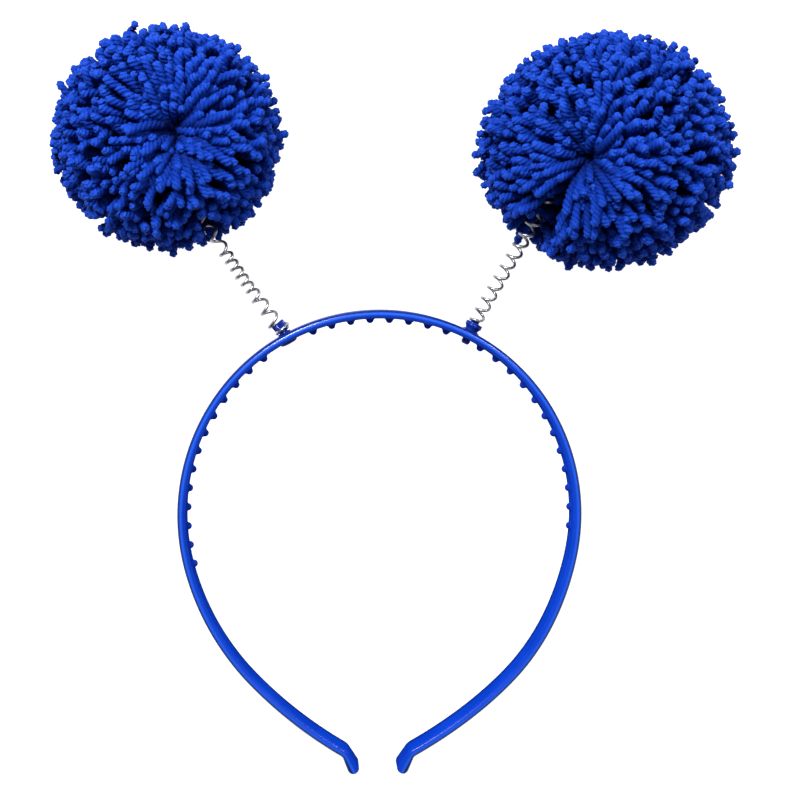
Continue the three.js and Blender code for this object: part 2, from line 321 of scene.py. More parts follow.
class Finish:
    """A material or a world that is made of nodes."""

    def __init__(self, owner):
        owner.use_nodes = True
        self.owner = owner
        self.tree = owner.node_tree
        self.tree.nodes.clear()

    def node(self, kind, settings=None, sockets=None):
        made = self.tree.nodes.new(kind)
        for key, value in (settings or {}).items():
            if key == "stops":
                self._stops(made.color_ramp, value)
            else:
                setattr(made, key, value)
        for key, value in (sockets or {}).items():
            if isinstance(value, Value):
                self.tree.links.new(value.socket, made.inputs[key])
            else:
                made.inputs[key].default_value = value
        return Outputs(self, made)

    def _stops(self, ramp, stops):
        while len(ramp.elements) < len(stops):
            ramp.elements.new(0.5)
        for element, (position, colour) in zip(ramp.elements, stops):
            element.position = position
            element.color = (*colour, 1)

    def noise(self, scale, detail):
        where = self.node("ShaderNodeTexCoord")["Object"]
        sockets = {"Vector": where, "Scale": scale, "Detail": detail}
        return self.node("ShaderNodeTexNoise", {}, sockets)["Fac"]

    def mix(self, share, first, second):
        """A colour between two colours."""
        sockets = {0: share, 6: first, 7: second}
        return self.node("ShaderNodeMix", {"data_type": "RGBA"}, sockets)[2]

    def span(self, value, low, high, to_low=0.0, to_high=1.0):
        """The value's place between low and high, as a number between the other two."""
        sockets = {"Value": value, 1: low, 2: high, 3: to_low, 4: to_high}
        return self.node("ShaderNodeMapRange", {"clamp": True}, sockets)[0]

    def bump(self, height, strength, distance):
        sockets = {"Height": height, "Strength": strength, "Distance": distance}
        return self.node("ShaderNodeBump", {}, sockets)["Normal"]

    def surface(self, sockets):
        shader = self.node("ShaderNodeBsdfPrincipled", {}, sockets)["BSDF"]
        self.node("ShaderNodeOutputMaterial", {}, {"Surface": shader})
        return self.owner


def colour(red, green, blue):
    return (red, green, blue, 1)


# A navy for the band's painted shade along its outer edges and low on its inner face.
SHADE_NAVY = colour(0.001, 0.012, 0.12)


def moulded_plastic(finish, tone, gloss):
    """Moulded plastic with a share of gloss, and flow marks in it."""
    flow = finish.noise(260, 2)
    waves = finish.bump(finish.noise(45, 3) * 0.7 + flow * 0.3, 0.12, 0.0006)
    return finish.surface(
        {
            "Base Color": tone,
            "Roughness": finish.span(flow, 0.3, 0.7, 0.5, 0.6),
            "Normal": waves,
            "Specular IOR Level": 0.0,
            "Coat Weight": gloss,
            "Coat Roughness": 0.2,
        }
    )


def band_plastic():
    """Royal blue, faintly cloudy; its paler crest is a painted highlight, and its darker outer edges, darker
    teeth and darker foot of the inner face are painted shade.
    """
    finish = Finish(bpy.data.materials.new("band_blue"))
    place = finish.node("ShaderNodeAttribute", {"attribute_name": "lie"})["Vector"]
    parts = finish.node("ShaderNodeSeparateXYZ", {}, {0: place})
    lie, low = parts[0], parts[1] * -1
    cloud = finish.span(finish.noise(45, 3), 0.35, 0.65)
    face = finish.mix(cloud, colour(0.0015, 0.027, 0.32), colour(0.003, 0.038, 0.4))
    # Painted contact shadow: darker towards the bottom of the inner face, where the band meets the surface
    # below.
    rim = finish.span(low, 0.6, 2.6) * finish.span(lie * -1, 0.7, 1.2, 0.0, 0.8)
    contact_shaded = finish.mix(rim, face, SHADE_NAVY)
    # Painted highlight: paler from the middle of the band's section outwards.
    crest = finish.mix(finish.span(lie, -0.5, 0.2, 0.0, 0.75), contact_shaded, colour(0.015, 0.09, 0.6))
    # Painted shade: navy on the outer side, strongest at the rounded top and bottom edges.
    edge = finish.span(lie, 0.4, 0.85) * finish.span(low * low, 4.0, 9.0, 0.25, 1.0)
    outer = finish.mix(edge, crest, SHADE_NAVY)
    # Painted shade: the teeth darker than the rest of the moulding.
    tooth = finish.span(lie * -1, 1.45, 1.9, 0.0, 0.9)
    gloss = finish.span(lie, -1.3, -0.7, 0.0, 0.5)
    return moulded_plastic(finish, finish.mix(tooth, outer, colour(0.006, 0.022, 0.26)), gloss)


def post_plastic():
    """A darker blue than the band's."""
    finish = Finish(bpy.data.materials.new("post_blue"))
    cloud = finish.span(finish.noise(300, 3), 0.35, 0.65)
    tone = finish.mix(cloud, colour(0.001, 0.01, 0.12), colour(0.004, 0.022, 0.25))
    return moulded_plastic(finish, tone, 0.4)


def plated_wire():
    """Bright plated wire: drawn streaks in its gloss and darker random patches."""
    finish = Finish(bpy.data.materials.new("plated_wire"))
    dark_patches = finish.noise(400, 3)
    scratches = finish.noise(2600, 2)
    # Darker in random patches of the noise.
    tone = finish.mix(finish.span(dark_patches, 0.4, 0.75), colour(0.45, 0.45, 0.46), colour(0.3, 0.3, 0.3))
    return finish.surface(
        {
            "Base Color": tone,
            "Metallic": 1.0,
            "Roughness": finish.span(scratches, 0.3, 0.7, 0.26, 0.42),
            "Normal": finish.bump(scratches, 0.1, 0.0001),
        }
    )


def yarn():
    """Plied yarn with fine fibres: a painted highlight on the crests of its plies and at its cut ends,
    painted shade in the grooves between plies and towards the roots.
    """
    finish = Finish(bpy.data.materials.new("royal_yarn"))
    lay = finish.node("ShaderNodeAttribute", {"attribute_name": "lay"})["Vector"]
    parts = finish.node("ShaderNodeSeparateXYZ", {}, {0: lay})
    # Marks along each strand: the crest of its plies, for a painted highlight on them and painted shade in
    # their grooves; the share from root to tip, for painted shade towards the root and a painted highlight at
    # the tip; a random tone of its own.
    crest, along, own = parts[0], parts[1], parts[2]
    fibres = finish.noise(3200, 3)
    tufts = finish.noise(900, 3)
    patches = finish.span(finish.noise(60, 2), 0.35, 0.65)
    shade = finish.mix(own * 0.6 + patches * 0.4, colour(0.0004, 0.0055, 0.11), colour(0.0009, 0.0115, 0.2))
    # Painted highlight on the ply crests and painted shade in their grooves, with a random tone from the
    # tufts.
    pale = finish.mix(crest * 0.55 + tufts * 0.45, shade, colour(0.005, 0.048, 0.44))
    # Painted highlight: paler cut ends.
    highlit_tips = finish.mix(finish.span(along, 0.82, 1.0, 0.0, 0.35), pale, colour(0.022, 0.09, 0.54))
    # Painted shade: much darker towards the roots, deep inside the pompom.
    tone = finish.mix(finish.span(along, 0.3, 0.97, 0.95, 0.0), highlit_tips, colour(0.0002, 0.0022, 0.035))
    return finish.surface(
        {
            "Base Color": tone,
            "Roughness": finish.span(fibres, 0.3, 0.7, 0.5, 0.8),
            "Normal": finish.bump(fibres * 0.5 + tufts * 0.5, 0.9, 0.0006),
            "Specular IOR Level": 0.05,
        }
    )


# The headband's centre line


def outwards(turned):
    return np.array([math.sin(turned), math.cos(turned)])


def band_at(length):
    """The centre line's place and turn at a length from the crown, on the right half."""
    place, turned, left = np.zeros(2), 0.0, length
    for arc in ARCS:
        share = min(left / arc["length"], 1.0)
        run, turn = arc["length"] * share, arc["turn"] * share
        if turn:
            radius = run / turn
            place = place - radius * outwards(turned) + radius * outwards(turned + turn)
        else:
            place = place + run * np.array([math.cos(turned), -math.sin(turned)])
        turned += turn
        left -= run
        if left <= 1e-9:
            break
    return place, turned


def in_part(points):
    """Points of the band's own plane in the part's frame."""
    x, y, z = np.moveaxis(np.asarray(points, float), -1, 0)
    tilted = [x, y * math.cos(TILT) - z * math.sin(TILT), y * math.sin(TILT) + z * math.cos(TILT)]
    return np.stack(tilted, -1) + CROWN


def on_band(side, length, points):
    """Points of a turned shape that points along +Y, set on the band so that it points outwards."""
    place, turned = band_at(length)
    angle = -turned * side
    x, y, z = np.moveaxis(np.asarray(points, float), -1, 0)
    turned_x = x * math.cos(angle) - y * math.sin(angle) + place[0] * side
    turned_y = x * math.sin(angle) + y * math.cos(angle) + place[1]
    return in_part(np.stack([turned_x, turned_y, z], -1))


# The headband


def band_section():
    """The strip's cross section: outward and depth offsets, with round edges."""
    half_thick, half_deep = BAND_THICKNESS / 2, BAND_DEPTH / 2
    corners = [
        (half_thick, half_deep, 0),
        (-half_thick, half_deep, 90),
        (-half_thick, -half_deep, 180),
        (half_thick, -half_deep, 270),
    ]
    section = []
    for out, deep, start in corners:
        centre = np.array([out - math.copysign(EDGE_ROUND, out), deep - math.copysign(EDGE_ROUND, deep)])
        for i in range(7):
            angle = math.radians(start + 90 * i / 6)
            section.append(centre + EDGE_ROUND * np.array([math.cos(angle), math.sin(angle)]))
    return np.array(section)


def sideways(side, length):
    """How far the right arm differs from the left one's mirror image."""
    if side < 0:
        return 0.0
    share = max(1 - (BAND_LENGTH - length) / RIGHT_STRETCH, 0)
    return RIGHT_BULGE * math.sin(math.pi * share) ** 2 - RIGHT_BEND * share**3


def band_lengths():
    """Lengths from the crown at which the right half has a ring, closer at the knee."""
    lengths, start = [0.0], 0.0
    for arc in ARCS:
        knee = arc["turn"] < 0
        count = max(2, round(arc["length"] / (KNEE_STEP if knee else STATION_STEP)))
        lengths += [start + arc["length"] * (i + 1) / count for i in range(count)]
        start += arc["length"]
    return lengths


def band_rings():
    section = band_section()
    half = []
    for length in band_lengths():
        place, turned = band_at(length)
        swollen = smooth(1 - (BAND_LENGTH - length) / TIP_SWELL_LENGTH)
        half.append((length, place, turned, 1 + TIP_SWELL * swollen))
    length, place, turned, wide = half[-1]
    heading = np.array([math.cos(turned), -math.sin(turned)])
    for i in range(1, 9):
        angle = math.radians(10.5 * i)
        end = place + heading * TIP_ROUND_LENGTH * math.sin(angle)
        half.append((length, end, turned, wide * math.cos(angle)))
    rings = []
    for side in (-1, 1):
        stations = half[:0:-1] if side < 0 else half
        for length, place, turned, width in stations:
            offset = outwards(turned) * np.array([side, 1])
            depth = 1 - TIP_DEPTH_LOSS * max(1 - width, 0)
            flat = place * np.array([side, 1]) + section[:, :1] * width * offset
            flat[:, 0] += sideways(side, length)
            rings.append(np.column_stack([flat, section[:, 1] * depth]))
    return in_part(np.array(rings))


def turned_shape(rows, sides, radius_at=None):
    """A shape turned round +Y from rows of (radius, height)."""
    angles = np.arange(sides) / sides * TURN
    rings = []
    for radius, height in rows:
        across = np.full(sides, float(radius))
        if radius_at is not None:
            across = radius_at(across, height, angles)
        rings.append(np.stack([across * np.sin(angles), np.full(sides, height), across * np.cos(angles)], -1))
    return np.array(rings)


def tooth_rows():
    """From inside the band's inner face down to the round end of a tooth."""
    face = -BAND_THICKNESS / 2
    rows = []
    for i in range(6):
        share = i / 5
        flare = TOOTH_FLARE * (1 - math.sin(share * math.pi / 2))
        rows.append((TOOTH_RADIUS + flare, face + 0.12 - (TOOTH_FLARE + 0.12) * share))
    middle = face - TOOTH_LENGTH + TOOTH_RADIUS * 0.85
    for i in range(8):
        angle = math.radians(11.5 * i)
        rows.append((TOOTH_RADIUS * math.cos(angle), middle - TOOTH_RADIUS * 0.85 * math.sin(angle)))
    return rows[::-1]


def headband(finish):
    band = mesh_object("headband_moulding", *lofts(band_rings()[None]), finish)
    tooth = turned_shape(tooth_rows(), 20)
    teeth = []
    for side in SIDES.values():
        lengths = [CROWN_TOOTH_PITCH * (i + 0.5) for i in range(CROWN_TEETH_EACH_SIDE)]
        lengths += [side["first_tooth"] + side["tooth_pitch"] * i for i in range(side["teeth"])]
        teeth += [on_band(side["x"], length, tooth) for length in lengths]
    combine(band, mesh_object("teeth", *lofts(np.array(teeth))), "UNION")
    reach = BAND_THICKNESS
    hole = turned_shape([(SHANK_RADIUS + HOLE_GAP, -reach), (SHANK_RADIUS + HOLE_GAP, reach)], 32)
    holes = [on_band(side["x"], side["post_arc"], hole) for side in SIDES.values()]
    combine(band, mesh_object("holes", *lofts(np.array(holes))), "DIFFERENCE")
    band.data.polygons.foreach_set("use_smooth", [True] * len(band.data.polygons))
    band.data.set_sharp_from_angle(angle=BAND_CREASE)
    mark_lie(band)
    stand_for(band, "headband")


def mark_lie(band):
    """Writes on each of the band's points how far outwards from the centre line and how high it is, which
    place its painted highlight and shade and its gloss.
    """
    points = np.empty(len(band.data.vertices) * 3)
    band.data.vertices.foreach_get("co", points)
    x, y, z = (points.reshape(-1, 3) / MM - CROWN).T
    flat = np.stack([x, y * math.cos(TILT) + z * math.sin(TILT)], -1)
    places, outer = [], []
    for side in (-1, 1):
        for length in np.linspace(0, BAND_LENGTH, LIE_STATIONS):
            place, turned = band_at(length)
            places.append([place[0] * side + sideways(side, length), place[1]])
            outer.append(outwards(turned) * np.array([side, 1]))
    places, outer = np.array(places), np.array(outer)
    lie = np.zeros((len(flat), 3))
    lie[:, 1] = z * math.cos(TILT) - y * math.sin(TILT)
    for start in range(0, len(flat), LIE_BATCH):
        batch = slice(start, start + LIE_BATCH)
        gaps = flat[batch, None] - places
        nearest = np.argmin(np.linalg.norm(gaps, axis=-1), axis=1)
        lie[batch, 0] = np.sum(gaps[np.arange(len(gaps)), nearest] * outer[nearest], axis=-1)
    attribute = band.data.attributes.new("lie", "FLOAT_VECTOR", "POINT")
    attribute.data.foreach_set("vector", lie.astype(np.float32).ravel())


# The posts


def inner_head_rows(side):
    """The head inside the loop, from its end out to the shank."""
    head = side["inner_head"]
    seat = -FLANGE_SEAT
    end = seat - head["height"]
    wide, edge = head["radius"], min(head["radius"] * 0.5, head["round"] * 2)
    deep = head["round"]
    rows = [((wide - edge) * 0.5, end)]
    for i in range(7):
        angle = math.radians(15 * i)
        rows.append((wide - edge + edge * math.sin(angle), end + deep - deep * math.cos(angle)))
    return rows + [(wide - 0.05, seat - 0.04), (wide - 0.12, seat), (SHANK_RADIUS, seat)]


def neck_post_rows(side):
    """The left post from its shank: a plain foot, the wound neck and a finely ridged head."""
    low, wide = side["head_start"], side["head"]["radius"]
    high = low + side["head"]["height"]
    rows = [(SHANK_RADIUS, FLANGE_SEAT), (FLANGE_RADIUS - 0.1, FLANGE_SEAT)]
    rows += [(FLANGE_RADIUS, FLANGE_SEAT + 0.1)]
    rows += [(FLANGE_RADIUS, NECK_START - 0.1), (FLANGE_RADIUS - 0.1, NECK_START)]
    rows += [(NECK_RADIUS, NECK_START + 0.02), (NECK_RADIUS, low - 0.02)]
    rows += [(wide - 0.12, low), (wide, low + 0.12)]
    rows += [(wide, low + (high - low) * share) for share in (0.2, 0.4, 0.6, 0.8)]
    return rows + [(wide, high - 0.2), (wide - 0.06, high - 0.06), (wide - 0.22, high), (wide * 0.5, high)]


def peg_post_rows(side):
    """The right post from its shank: a lens-shaped pad, a cone, a rim with a fine groove and a peg."""
    low, wide = side["head_start"], side["head"]["radius"]
    tall = side["head"]["height"]
    high = low + tall
    rows = [(SHANK_RADIUS, FLANGE_SEAT)]
    for i in range(5):
        share = i / 4
        across = PAD_RADIUS + (CONE_RADIUS - PAD_RADIUS) * share
        rows.append((across, FLANGE_SEAT + (NECK_START - FLANGE_SEAT) * math.sin(share * math.pi / 2)))
    for i in range(1, 6):
        share = i / 5
        across = CONE_RADIUS + (wide - 0.1 - CONE_RADIUS) * share**2
        rows.append((across, NECK_START + (low - NECK_START) * share))
    for inset, share in SPOOL_RIM:
        rows.append((wide - inset, low + tall * share))
    peg = high + side["neck_turns"] * NECK_PITCH + 1.2 * WIRE_CLEAR
    rows += [(PEG_RADIUS + 0.15, high), (PEG_RADIUS, high + 0.15)]
    return rows + [(PEG_RADIUS, peg - 0.3), (PEG_RADIUS - 0.1, peg - 0.1), (PEG_RADIUS - 0.35, peg)]


def knurled(across, height, angles):
    """Fine ridges round the left head's wall."""
    side = SIDES["left"]
    on_wall = (across > side["head"]["radius"] - 0.05) & (height > side["head_start"] + 0.1)
    return across - np.where(on_wall, KNURL_DEPTH * (1 - np.cos(angles * KNURLS)), 0)


def leaning(side, points):
    """Points of a post along +Y, bent above its foot towards the outside of the part."""
    x, y, z = np.moveaxis(np.asarray(points, float), -1, 0)
    most = side["post_lean"] * side["x"]
    if not most:
        return np.stack([x, y, z], -1)
    risen = np.maximum(y - NECK_START, 0)
    angle = most * np.minimum(risen / BEND_LENGTH, 1)
    past = np.maximum(risen - BEND_LENGTH, 0)
    radius = BEND_LENGTH / most
    middle_x = radius * (1 - np.cos(angle)) + past * np.sin(angle)
    middle_y = np.minimum(y, NECK_START) + radius * np.sin(angle) + past * np.cos(angle)
    return np.stack([middle_x + x * np.cos(angle), middle_y - x * np.sin(angle), z], -1)


def post(name, side, finish):
    left = side["x"] < 0
    rows = inner_head_rows(side) + (neck_post_rows(side) if left else peg_post_rows(side))
    rings = turned_shape(rows, KNURLS * 4 if left else POST_SIDES, knurled if left else None)
    place = on_band(side["x"], side["post_arc"], leaning(side, rings))
    piece = mesh_object(f"post_{name}_turned", *lofts(place[None]), finish)
    piece.data.set_sharp_from_angle(angle=POST_CREASE)
    stand_for(piece, f"post_{name}")


# The springs


def direction(angles):
    azimuth, elevation = math.radians(angles["azimuth"]), math.radians(angles["elevation"])
    flat = math.cos(elevation)
    return np.array([flat * math.cos(azimuth), flat * math.sin(azimuth), math.sin(elevation)])


def on_post(side, height):
    return on_band(side["x"], side["post_arc"], leaning(side, [0, height, 0]))


def pompom_centre(side):
    start = on_post(side, 0)
    return np.array(
        [
            start[0] + side["x"] * side["reach"] * math.sin(side["lean"]),
            start[1] + side["reach"] * math.cos(side["lean"]),
            side["half_size"][2] - REST_FLAT,
        ]
    )


def reach_in(side, units):
    """How far the pompom's outside is from its centre in each direction."""
    return 1 / np.linalg.norm(units / side["half_size"], axis=-1)


def spring_axis(side):
    """The middle line of a spring at even lengths, from its post's neck into the pompom's core."""
    inwards = direction(side["entry"])
    surface = reach_in(side, inwards)
    centre = pompom_centre(side)
    knots = [
        on_post(side, side["wire_start"]),
        on_post(side, side["wire_start"] + side["spring_lead"]),
        centre + inwards * surface * side["entry_share"],
        centre + inwards * surface * CORE_SHARE * side["end_share"],
    ]
    t = np.linspace(0, 1, AXIS_STEPS)[:, None]
    line = sum(
        share * knot
        for share, knot in zip(((1 - t) ** 3, 3 * t * (1 - t) ** 2, 3 * t * t * (1 - t), t**3), knots)
    )
    gone = np.concatenate([[0], np.cumsum(np.linalg.norm(np.diff(line, axis=0), axis=1))])
    even = np.linspace(0, gone[-1], AXIS_STEPS)
    return np.stack([np.interp(even, gone, line[:, i]) for i in range(3)], -1), gone[-1]


def frames(paths, first=None):
    """Tangents and two normals along paths shaped (paths, steps, 3), carried without twist."""
    tangents = unit(np.gradient(paths, axis=1))
    start = tangents[:, 0]
    if first is None:
        least = np.eye(3)[np.argmin(np.abs(start), axis=1)]
        first = np.cross(start, unit(np.cross(start, least)))
    normals = np.empty_like(paths)
    normal = first
    for i in range(paths.shape[1]):
        tangent = tangents[:, i]
        normal = unit(normal - tangent * np.sum(normal * tangent, axis=1, keepdims=True))
        normals[:, i] = normal
    return tangents, normals, np.cross(tangents, normals)


def windings(side, length):
    """Rows of turns, rise and end radius, from the neck or peg outwards."""
    wound = side["neck_turns"] * NECK_PITCH
    if side["x"] < 0:
        past = side["head"]["radius"] + WIRE_CLEAR
        passed = side["head_start"] + side["head"]["height"] - side["wire_start"] - wound + WIRE_CLEAR
        rows = [(side["neck_turns"], wound, NECK_COIL_RADIUS), (0.15, 0.0, past), (0.45, passed, past)]
        rows.append((0.25, WIRE_RADIUS * 2, COIL_RADIUS))
    else:
        rows = [(side["neck_turns"], wound, COIL_RADIUS)]
    used = sum(rise for _, rise, _ in rows)
    return rows + [(turns, share * (length - used), radius) for turns, share, radius in side["coil"]]


def spring(name, side, finish):
    line, length = spring_axis(side)
    _, normals, binormals = frames(line[None], np.array([[0.0, 0.0, 1.0]]))
    path, risen, turned, radius = [], 0.0, 0.0, COIL_RADIUS
    for turns, rise, end_radius in windings(side, length):
        steps = max(2, round(turns * STEPS_PER_TURN))
        for i in range(steps):
            share = i / steps
            here = radius + (end_radius - radius) * share
            path.append((risen + rise * share, turned + turns * share, here))
        risen, turned, radius = risen + rise, turned + turns, end_radius
    path.append((length, turned, radius))
    heights, turns, radii = np.array(path).T
    hand_wound = 1 + 0.035 * np.sin(turns * 2.3 + side["seed"]) * smooth((turns - 4) / 2)
    at = np.clip(heights / length * (len(line) - 1), 0, len(line) - 1)
    low = np.floor(at).astype(int)
    high = np.minimum(low + 1, len(line) - 1)
    between = (at - low)[:, None]

    def along(rows):
        return rows[low] * (1 - between) + rows[high] * between

    angles = ((turns + side["wire_phase"]) * TURN)[:, None]
    offset = along(normals[0]) * np.cos(angles) + along(binormals[0]) * np.sin(angles)
    wire = along(line) + (radii * hand_wound)[:, None] * offset
    rings = tube_rings(wire[None], WIRE_RADIUS, WIRE_SIDES)
    piece = mesh_object(f"spring_{name}_wire", *lofts(rings), finish)
    stand_for(piece, f"spring_{name}")


def tube_rings(paths, radius, sides):
    _, normals, binormals = frames(paths)
    angles = np.arange(sides) / sides * TURN
    return (
        paths[:, :, None]
        + radius * normals[:, :, None] * np.cos(angles)[:, None]
        + radius * binormals[:, :, None] * np.sin(angles)[:, None]
    )


# The pompoms


def spread(count, draws):
    """Directions spread over a ball, each moved a little, with the pole at +Z."""
    height = 1 - 2 * (np.arange(count) + 0.5) / count
    flat = np.sqrt(1 - height**2)
    angle = np.arange(count) * math.pi * (3 - math.sqrt(5))
    even = np.stack([flat * np.cos(angle), flat * np.sin(angle), height], -1)
    return unit(even + draws.normal(0, 0.85 / math.sqrt(count), even.shape))


def pole_frame(side):
    """Two directions across the pompom's pole and the pole itself, as rows."""
    pole = direction(side["pole"])
    across = unit(np.cross(pole, [0.0, 1.0, 0.0]))
    return np.array([across, np.cross(pole, across), pole])


def strand_paths(side, tips, shares, line, draws):
    """Paths of strands from near the core to their tips, arching away from the pole."""
    axes = pole_frame(side)
    count = len(tips)
    angle = np.arccos(np.clip(tips[:, 2], -1, 1))
    azimuth = np.arctan2(tips[:, 1], tips[:, 0])
    arch = 1 - smooth((angle - FULL_ARCH_ANGLE) / (NO_ARCH_ANGLE - FULL_ARCH_ANGLE))
    arch *= draws.uniform(0.45, 1, count)
    start_share = 1 - 0.78 * arch
    bend = 1.1 + 0.1 * arch
    root = 0.66 - 0.18 * arch + draws.normal(0, 0.03, count)
    ease = 0.15 + 0.4 * arch
    near_pole = np.exp(-((angle / math.radians(22)) ** 2))
    tip_share = 1 - 0.26 * near_pole - np.abs(draws.normal(0, 0.055, count))
    tip_share += 0.045 * (draws.uniform(0, 1, count) > 0.9)
    ends = (tips @ axes) * reach_in(side, tips @ axes)[:, None]
    tip_share = np.maximum(tip_share * at_spring_level(side, ends, line), root + 0.06)
    t = shares[None, :]
    polar = angle[:, None] * (start_share[:, None] + (1 - start_share[:, None]) * t ** bend[:, None])
    rise = (1 - ease[:, None]) * t + ease[:, None] * (1 - (1 - t) ** 2)
    out = root[:, None] + (tip_share - root)[:, None] * rise
    lean = draws.normal(0, 0.13, (count, 2)) * (1 - 0.4 * arch)[:, None]
    sway = draws.normal(0, 0.03, (count, 2))
    narrow = np.maximum(np.sin(angle), 0.35)[:, None]
    wander = azimuth[:, None] + (lean[:, :1] * (1 - t) + sway[:, :1] * np.sin(t * math.pi)) / narrow
    polar = polar + lean[:, 1:] * (1 - t) + sway[:, 1:] * np.sin(t * math.pi)
    across = np.sin(polar)
    units = np.stack([across * np.cos(wander), across * np.sin(wander), np.cos(polar)], -1) @ axes
    end = reach_in(side, units) - 0.3
    return units * (out * end)[..., None]


def at_spring_level(side, ends, line):
    """How much shorter each strand is where the spring shows, so that it lies in a valley of tips."""
    outside = np.linalg.norm(line / side["half_size"], axis=-1)
    seen = line[(outside > side["seen_from"]) & (outside < 1.08)][::20]
    gaps = np.linalg.norm(ends[:, None, :2] - seen[None, :, :2], axis=-1)
    nearest = np.argmin(gaps, axis=1)
    gap = gaps[np.arange(len(ends)), nearest]
    level = seen[nearest, 2] - VALLEY_DROP
    lower = np.where(ends[:, 2] > level, level / np.maximum(ends[:, 2], 1e-6), 1.0)
    near = 1 - smooth((gap - side["valley"]["width"]) / side["valley"]["slope"])
    return 1 - near * (1 - np.clip(lower, 0.5, 1))


def clear_of_spring(paths, line):
    """Moves strands sideways where they would run through the spring."""
    flat_line = line[::40]
    tangents = unit(np.gradient(flat_line, axis=0))
    beside = unit(np.cross(tangents, [0.0, 0.0, 1.0]))
    upwards = np.cross(beside, tangents)
    flat = paths.reshape(-1, 3)
    gaps = flat[:, None] - flat_line[None]
    nearest = np.argmin(np.linalg.norm(gaps, axis=-1), axis=1)
    gap = gaps[np.arange(len(flat)), nearest]
    aside = np.sum(gap * beside[nearest], axis=-1)
    above = np.sum(gap * upwards[nearest], axis=-1)
    along = np.abs(np.sum(gap * tangents[nearest], axis=-1))
    room = COIL_RADIUS + WIRE_RADIUS + STRAND_RADIUS * 0.85
    push = np.clip(room - np.hypot(aside, above), 0, None) * (along < room)
    towards = np.where(aside < 0, -1.0, 1.0)
    flat = flat + beside[nearest] * (push * towards)[:, None]
    return flat.reshape(paths.shape)


def rested(paths):
    """Keeps strands on the surface that the pompom lies on."""
    low = STRAND_RADIUS * 0.95
    z = paths[..., 2]
    paths[..., 2] = np.where(z < low + 2, low + 2 * np.exp((np.minimum(z, low + 2) - low - 2) / 2), z)
    return paths


def ply_rings(paths, sides, draws):
    """Rings round the three twisted plies of each strand, each ply with its own rounded cut end."""
    count, steps, _ = paths.shape
    _, normals, binormals = frames(paths)
    lengths = np.linalg.norm(np.diff(paths, axis=1), axis=-1)
    gone = np.concatenate([np.zeros((count, 1)), np.cumsum(lengths, axis=1)], axis=1)
    own = draws.uniform(0, 1, count)
    size = (0.9 + 0.2 * own)[:, None]
    start = draws.uniform(0, TURN, count)[:, None]
    around = np.arange(sides) / sides * TURN
    rings, lays = [], []
    for ply in range(PLIES):
        cut = np.abs(draws.normal(0, 0.12, count))[:, None]
        here = gone * np.clip(1 - cut / gone[:, -1:], 0.9, 1)
        to_tip = here[:, -1:] - here
        heading = unit(paths[:, -1:] - paths[:, -2:-1])
        centre = paths - heading * ((gone - here) * (to_tip < 2))[..., None]
        angle = start + ply / PLIES * TURN - here / PLY_TURN_LENGTH * TURN
        outward = normals * np.cos(angle)[..., None] + binormals * np.sin(angle)[..., None]
        centre = centre + outward * (PLY_OFFSET * size)[..., None]
        tip_round = np.sqrt(np.clip(1 - np.clip(1 - to_tip / TIP_ROUND, 0, 0.94) ** 2, 0, 1))
        radius = (PLY_RADIUS * size * tip_round)[..., None] * draws.normal(1, UNEVEN, (count, steps, sides))
        turn = angle[..., None] + around
        rings.append(
            centre[:, :, None]
            + normals[:, :, None] * (radius * np.cos(turn))[..., None]
            + binormals[:, :, None] * (radius * np.sin(turn))[..., None]
        )
        # Marks for the yarn's colour: 1 on the outer side of each ply and 0 in its groove, for painted
        # highlight and shade; the share from root to tip, for painted shade at the root and a painted
        # highlight at the tip; a random tone.
        lay = np.empty((count, steps, sides, 3))
        lay[..., 0] = 0.5 + 0.5 * np.cos(around)
        lay[..., 1] = (1 - to_tip / np.maximum(here[:, -1:], 1e-6))[..., None]
        lay[..., 2] = own[:, None, None]
        lays.append(lay)
    return np.concatenate(rings), with_ends(np.concatenate(lays))


def strand_rings(paths, sides, draws):
    """Plain lobed rings for strands that are mostly hidden."""
    count, steps, _ = paths.shape
    _, normals, binormals = frames(paths)
    lengths = np.linalg.norm(np.diff(paths, axis=1), axis=-1)
    gone = np.concatenate([np.zeros((count, 1)), np.cumsum(lengths, axis=1)], axis=1)
    to_tip = gone[:, -1:] - gone
    around = np.arange(sides) / sides * TURN
    crest = 0.5 + 0.5 * np.cos(around * PLIES)
    own = draws.uniform(0, 1, count)
    round_end = np.sqrt(np.clip(1 - np.clip(1 - to_tip / 1.25, 0, 0.95) ** 2, 0, 1))
    radius = STRAND_RADIUS * (0.92 + 0.16 * own)[:, None] * round_end
    twist = -gone / PLY_TURN_LENGTH * TURN + draws.uniform(0, TURN, count)[:, None]
    angles = around + twist[..., None]
    lobed = radius[..., None] * (0.84 + 0.16 * crest)
    rings = (
        paths[:, :, None]
        + normals[:, :, None] * (lobed * np.cos(angles))[..., None]
        + binormals[:, :, None] * (lobed * np.sin(angles))[..., None]
    )
    # Marks for the yarn's colour as on the plied strands: lobe crests for painted highlight and shade, the
    # share from root to tip for painted root shade and tip highlight, and a random tone.
    lay = np.empty((count, steps, sides, 3))
    lay[..., 0] = crest
    lay[..., 1] = (1 - to_tip / np.maximum(gone[:, -1:], 1e-6))[..., None]
    lay[..., 2] = own[:, None, None]
    return rings, with_ends(lay)


def with_ends(lay):
    """The marks of each tube's points, with those of the middles of its two ends."""
    ends = np.stack([lay[:, 0].mean(axis=1), lay[:, -1].mean(axis=1)], axis=1)
    return np.concatenate([lay.reshape(len(lay), -1, 3), ends], axis=1).reshape(-1, 3)


def step_shares(count, root_count):
    """Shares along a strand: few near the root, which is covered, and close at the tip."""
    covered = np.linspace(0, COVERED_SHARE, root_count, endpoint=False)
    shown_count = count - root_count - len(TIP_SHARES)
    shown = np.linspace(COVERED_SHARE, TIP_SHARES[0], shown_count, endpoint=False)
    return np.concatenate([covered, shown, TIP_SHARES])


